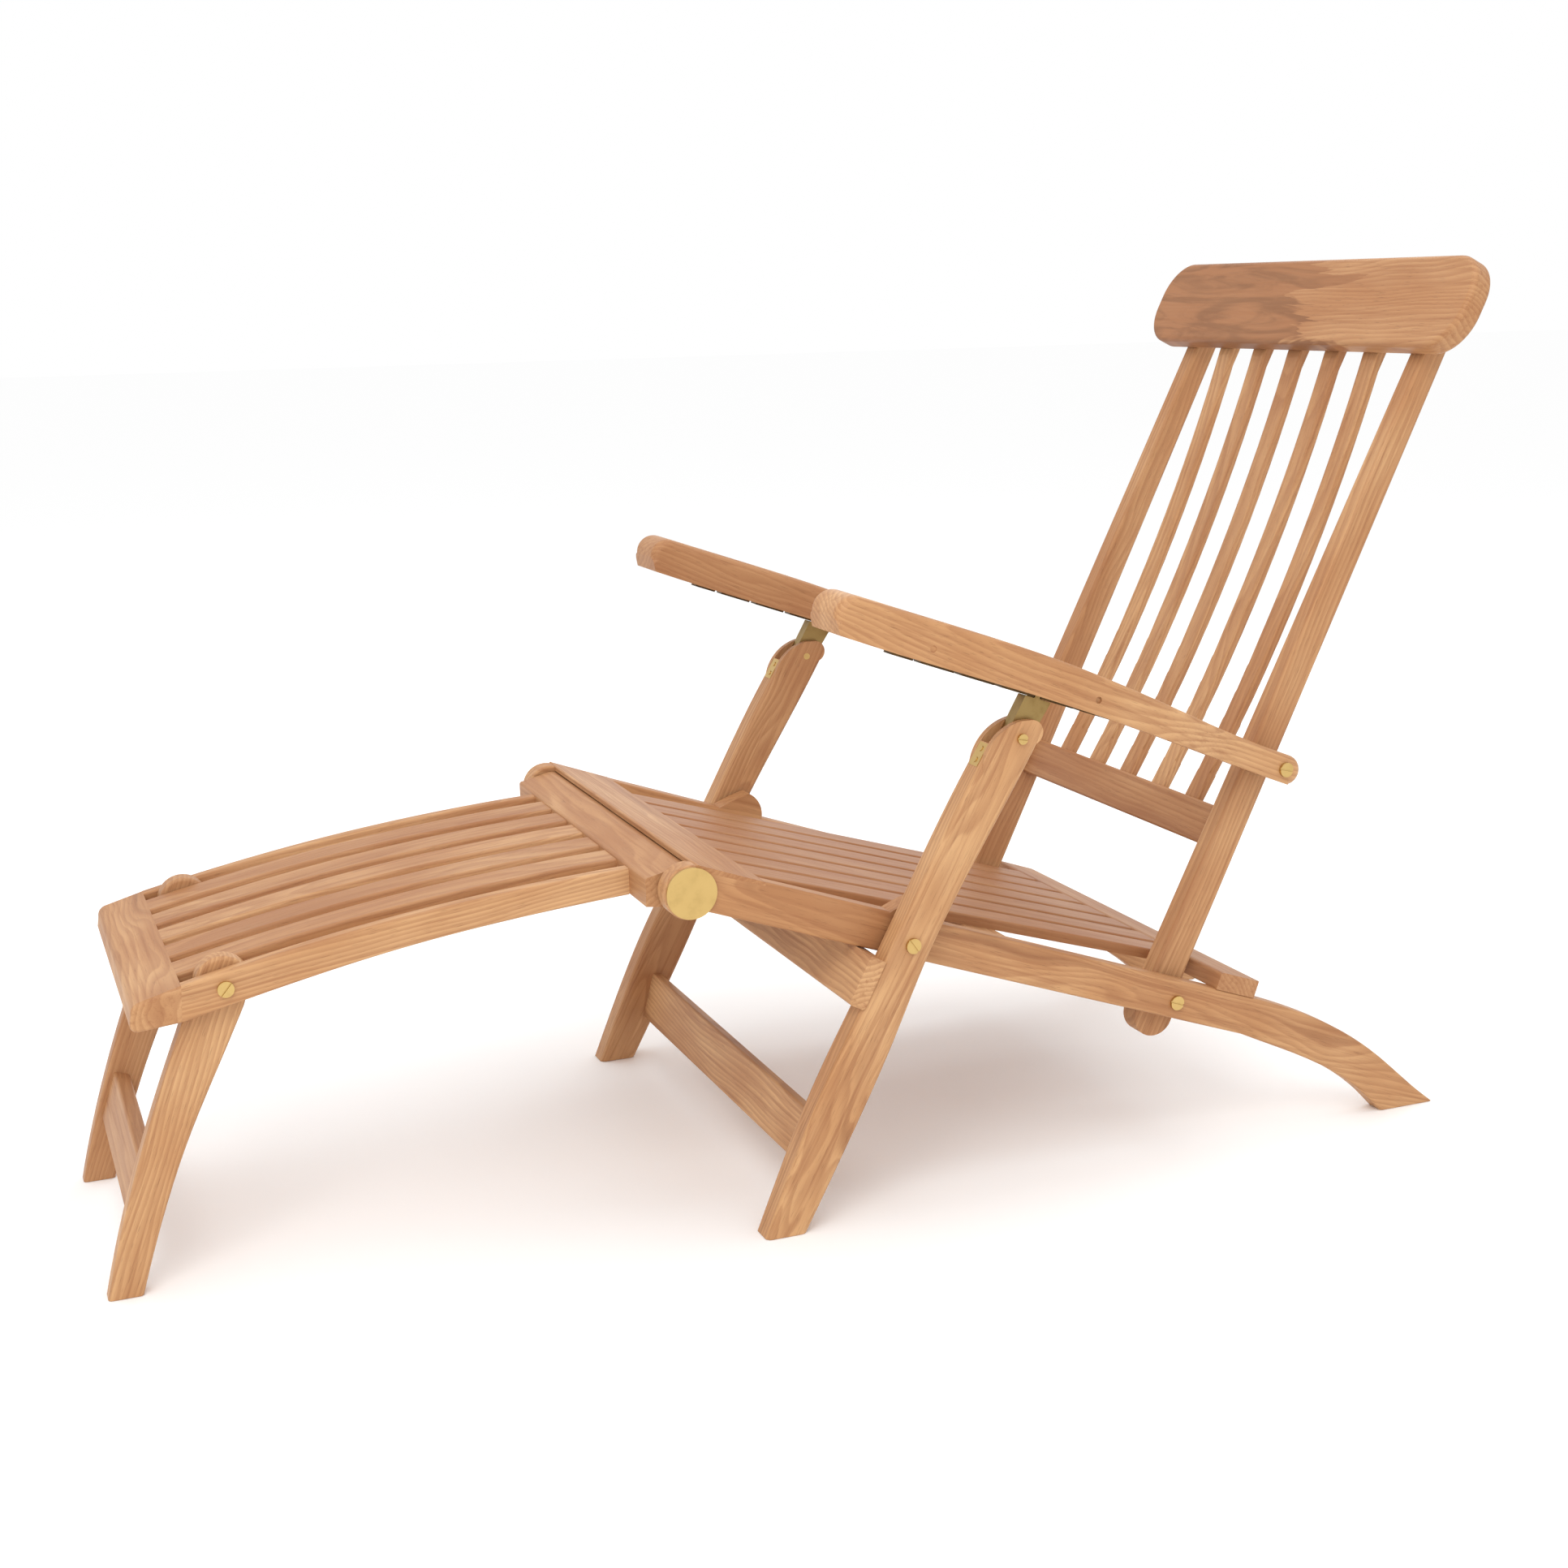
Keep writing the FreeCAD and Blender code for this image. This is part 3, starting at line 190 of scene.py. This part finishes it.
def teak_figure(tree, node, along, look, draw):
    """The colour, streaks and pores of one board.  The look is how dark the board is, how
    russet, how strong its heartwood bands are and how much its figure wanders."""
    depth, red, stripe, knotty = look
    place = tree.add("ShaderNodeTexCoord").outputs["Object"]
    shift = [draw.uniform(-4, 4) for _ in range(3)]
    spot = [tree.math("ADD", tree.dot(place, axis), move)
            for axis, move in zip(grain_axes(node, along), shift)]
    u, v, w = spot

    radius = distance_from_heart(tree, spot, shift, knotty, draw)
    ring = growth_rings(tree, radius, draw)
    band = tree.noise(tree.scaled((u, 0.0, radius), (0.9, 1.0, 34.0)), detail=3.0, rough=0.55)
    streak = tree.noise(tree.scaled(spot, (5.0, 210.0, 210.0)), detail=4.0, rough=0.6)
    fine = tree.noise(tree.scaled(spot, (60.0, 1500.0, 1500.0)), detail=1.0)
    pore = tree.steps(fine, 0.62, 0.75)
    cloud = tree.noise(tree.scaled(spot, (6.0, 14.0, 1.0)))

    colour = tree.blend(tree.steps(cloud, 0.3, 0.72), HONEY, PALE)
    colour = tree.blend(depth * 0.6, colour, RUSSET)
    colour = tree.cover(colour, RUSSET, tree.steps(band, 0.48, 0.66), red)
    colour = tree.cover(colour, DARK, tree.steps(band, 0.60, 0.70), stripe)
    colour = tree.cover(colour, RUSSET, ring, RING_STRENGTH)
    colour = tree.cover(colour, RUSSET, tree.steps(streak, 0.45, 0.75), STREAK_STRENGTH)
    colour = tree.cover(colour, PORE, pore, PORE_STRENGTH)
    return colour, streak, pore


def oiled(tree, colour, streak, pore):
    """Oiled timber: a soft shine, slightly raised streaks and open pores."""
    surface = tree.shader()
    tree.feed(surface.inputs["Base Color"], colour)
    tree.feed(surface.inputs["Roughness"], tree.math("MULTIPLY_ADD", streak, 0.16, 0.42))
    surface.inputs["Specular IOR Level"].default_value = 0.25
    raised = tree.math("MULTIPLY", streak, 0.5)
    height = tree.math("SUBTRACT", raised, tree.math("MULTIPLY", pore, 0.6))
    tree.bump(surface, height, 0.35, 0.0003)
    return tree.material


def teak(name, node, along, look, draw):
    """One board of oiled teak."""
    tree = Tree(name)
    colour, streak, pore = teak_figure(tree, node, along, look, draw)
    return oiled(tree, colour, streak, pore)


def headrest_teak(name, node, draw):
    """The headrest: dark figured heartwood on the sitter's right, pale on the left."""
    tree = Tree(name)
    colour, streak, pore = teak_figure(tree, node, ACROSS, HEADREST_LOOK, draw)

    place = tree.add("ShaderNodeTexCoord").outputs["Object"]
    x = tree.dot(place, ACROSS)
    up = tree.dot(place, main_axes(node)[1])
    low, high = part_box(node)
    border = (low.x + high.x) / 2 + 0.05
    ragged = tree.noise(tree.scaled((x, up, 0.0), (5.0, 34.0, 1.0)), 1.0, 4.0, 0.6, 0.8)
    ragged = tree.math("MULTIPLY", tree.math("SUBTRACT", ragged, 0.5), 0.55)
    edge = tree.math("ADD", tree.math("SUBTRACT", x, border), ragged)
    dark_side = tree.math("SUBTRACT", 1.0, tree.steps(edge, -0.012, 0.006))

    swirl = tree.noise(tree.scaled((x, up, 0.0), (4.0, 26.0, 1.0)), 1.0, 4.0, 0.6, 1.8)
    heart = tree.blend(tree.steps(swirl, 0.42, 0.62), RUSSET, DARK)
    heart = tree.blend(0.2, heart, HONEY)
    return oiled(tree, tree.cover(colour, heart, dark_side, 0.85), streak, pore)


# -------------------------------------------------------------------- brass

YELLOW = linear(206, 174, 112)
KHAKI = linear(158, 132, 84)
# near-black bronze for the notched strips: partly tarnished brass, partly painted shade standing in for
# the shadow under the arms
BRONZE_AND_SHADE = linear(84, 66, 44)
TARNISH = linear(132, 104, 58)


def brass(name, colour, dull, draw):
    """Satin brass with a little tarnish and fine turning marks."""
    tree = Tree(name)
    place = tree.add("ShaderNodeTexCoord").outputs["Object"]
    shift = draw.uniform(-5, 5)
    x, y, z = (tree.dot(place, axis) for axis in ((1, 0, 0), (0, 1, 0), (0, 0, 1)))
    cloud = tree.noise(tree.combine(tree.math("ADD", x, shift), y, z), 60.0, 3.0, 0.6)
    fine = tree.noise(place, 900.0)
    surface = tree.shader()
    tinted = tree.cover(colour, TARNISH, tree.steps(cloud, 0.45, 0.75), dull)
    tree.feed(surface.inputs["Base Color"], tinted)
    surface.inputs["Metallic"].default_value = 1.0
    tree.feed(surface.inputs["Roughness"], tree.math("MULTIPLY_ADD", cloud, 0.25, 0.3))
    tree.bump(surface, fine, 0.12, 0.0001)
    return tree.material


# ------------------------------------------------------ materials on the nodes

# boards whose grain runs across the chair
CROSS_BOARDS = {
    "seat_front_board", "seat_batten", "seat_rear_board", "seat_support_bar", "lower_stretcher",
    "back_lower_rail", "footrest_end_board", "footrest_inner_board", "footrest_leg_rail",
}
# how dark, how russet, how striped, how wandering
LOOKS = {
    "arm_left": (0.10, 0.10, 0.18, 0.35),
    "arm_right": (0.75, 0.60, 0.45, 0.30),
    "seat_rail_left": (0.20, 0.35, 0.60, 0.75),
    "seat_rail_right": (0.30, 0.30, 0.40, 0.50),
    "front_leg_left": (0.0, 0.15, 0.45, 0.55),
    "front_leg_right": (0.35, 0.35, 0.45, 0.50),
    "back_stile_left": (0.35, 0.40, 0.75, 0.20),
    "back_stile_right": (0.35, 0.30, 0.35, 0.20),
    "back_lower_rail": (0.70, 0.65, 0.45, 0.35),
    "lower_stretcher": (0.0, 0.20, 0.30, 0.35),
    "seat_support_bar": (0.20, 0.40, 0.50, 0.45),
    "footrest_rail_left": (0.12, 0.15, 0.15, 0.35),
    "footrest_rail_right": (0.25, 0.20, 0.20, 0.35),
    "footrest_end_board": (0.28, 0.35, 0.60, 0.70),
    "footrest_inner_board": (0.50, 0.30, 0.30, 0.30),
    "seat_front_board": (0.45, 0.30, 0.35, 0.30),
    "footrest_leg_left": (0.12, 0.15, 0.20, 0.40),
    "footrest_leg_rail": (0.60, 0.45, 0.30, 0.30),
}
HEADREST_LOOK = (0.55, 0.3, 0.25, 0.5)
SEAT_SLAT_DEPTH = 1.1
# the lowest and highest of each for the boards not named above
OTHER_LOOKS = ((0.3, 0.7), (0.2, 0.6), (0.2, 0.6), (0.1, 0.4))


def metal_for(name, draw):
    """Bright brass, except the hooks, which are duller, and the notched strips, which are tarnished
    bronze made near-black as painted shade from under the arms.
    """
    colour, dull = YELLOW, 0.12
    if name in ("hook_left", "hook_right"):
        colour, dull = KHAKI, 0.5
    # the notched strips get painted shade: their near-black colour copies the shadow under the arms, on
    # top of real tarnish
    if name.startswith("notch_rail"):
        colour, dull = BRONZE_AND_SHADE, 0.5
    return brass(name + "_metal", colour, dull, draw)


def timber_for(name, draw):
    """The board's own look if it has one, or else one drawn at random."""
    if name == "headrest":
        return headrest_teak("headrest_timber", name, draw)
    look = LOOKS.get(name)
    if look is None:
        look = tuple(draw.uniform(low, high) for low, high in OTHER_LOOKS)
    if name.startswith("seat_slat"):
        look = (SEAT_SLAT_DEPTH,) + look[1:]
    along = ACROSS if name in CROSS_BOARDS else None
    return teak(name + "_timber", name, along, look, draw)


slots = {part["node"]: part["material_slot"] for part in frame["record"]["subparts"]}
draw = random.Random(11)
for name in sorted(frame["nodes"]):
    make = metal_for if slots[name] == "brass" else timber_for
    mesh = frame["nodes"][name].data
    mesh.materials.clear()
    mesh.materials.append(make(name, draw))


# -------------------------------------------------------------------- floor

FLOOR_HALF = 30.0
FLOOR_DROP = 0.0005


def pale_floor():
    """A large matt floor, just under the feet."""
    corners = [(x * FLOOR_HALF, y * FLOOR_HALF, 0) for x, y in ((-1, -1), (1, -1), (1, 1), (-1, 1))]
    mesh = bpy.data.meshes.new("floor")
    mesh.from_pydata(corners, [], [(0, 1, 2, 3)])
    floor = bpy.data.objects.new("floor", mesh)
    bpy.context.scene.collection.objects.link(floor)
    floor.location.z = -FLOOR_DROP
    tree = Tree("pale_floor")
    surface = tree.shader()
    surface.inputs["Base Color"].default_value = (0.985, 0.985, 0.985, 1.0)
    surface.inputs["Roughness"].default_value = 0.9
    surface.inputs["Specular IOR Level"].default_value = 0.0
    mesh.materials.append(tree.material)
    return floor


pale_floor()


# -------------------------------------------------------------------- light

def white_surroundings():
    """Even white light from all sides, which is also the backdrop."""
    world = bpy.data.worlds.new("studio")
    bpy.context.scene.world = world
    world.use_nodes = True
    sky = world.node_tree.nodes["Background"]
    sky.inputs["Color"].default_value = (1.0, 1.0, 1.0, 1.0)
    sky.inputs["Strength"].default_value = 1.0


def soft_light(name, spot, aim, wide, power, colour=(1.0, 1.0, 1.0)):
    """A square area light at spot, turned towards aim."""
    data = bpy.data.lights.new(name, "AREA")
    data.shape = "SQUARE"
    data.size = wide
    data.energy = power
    data.color = colour
    lamp = bpy.data.objects.new(name, data)
    bpy.context.scene.collection.objects.link(lamp)
    lamp.location = spot
    lamp.rotation_euler = (Vector(aim) - Vector(spot)).to_track_quat("-Z", "Y").to_euler()


white_surroundings()
soft_light("key", (2.6, -1.6, 3.2), (0.0, 0.0, 0.4), 2.2, 55.0, (1.0, 0.98, 0.95))
soft_light("top", (-0.3, 0.6, 3.6), (0.0, 0.0, 0.3), 3.0, 25.0)
soft_light("rear", (-2.6, 1.8, 2.0), (0.0, 0.2, 0.4), 2.0, 12.0)


# ------------------------------------------------------------------- camera

CAMERA_PLACE = Vector((2.2317, -0.8426, 0.9460))
CAMERA_YAW = 0.37971
CAMERA_PITCH = 0.22357
CAMERA_ROLL = -0.01994
SENSOR_MM = 36.0
LENS_MM = 49.717
SHIFT_X = -0.00977


def look_from(place, yaw, pitch, roll):
    """World matrix of a camera; yaw 0 looks along -X, pitch tips it down.  In radians."""
    ahead = Vector((-math.cos(yaw) * math.cos(pitch), math.sin(yaw) * math.cos(pitch), -math.sin(pitch)))
    right = ahead.cross(Vector((0, 0, 1))).normalized()
    up = right.cross(ahead)
    side = math.cos(roll) * right + math.sin(roll) * up
    top = -math.sin(roll) * right + math.cos(roll) * up
    turn = Matrix((side, top, -ahead)).transposed().to_4x4()
    return Matrix.Translation(place) @ turn


camera_data = bpy.data.cameras.new("camera")
camera_data.sensor_width = SENSOR_MM
camera_data.lens = LENS_MM
camera_data.shift_x = SHIFT_X
camera_data.clip_end = 100.0
camera = bpy.data.objects.new("camera", camera_data)
bpy.context.scene.collection.objects.link(camera)
camera.matrix_world = look_from(CAMERA_PLACE, CAMERA_YAW, CAMERA_PITCH, CAMERA_ROLL)
bpy.context.scene.camera = camera

bpy.context.scene.view_settings.view_transform = "Standard"
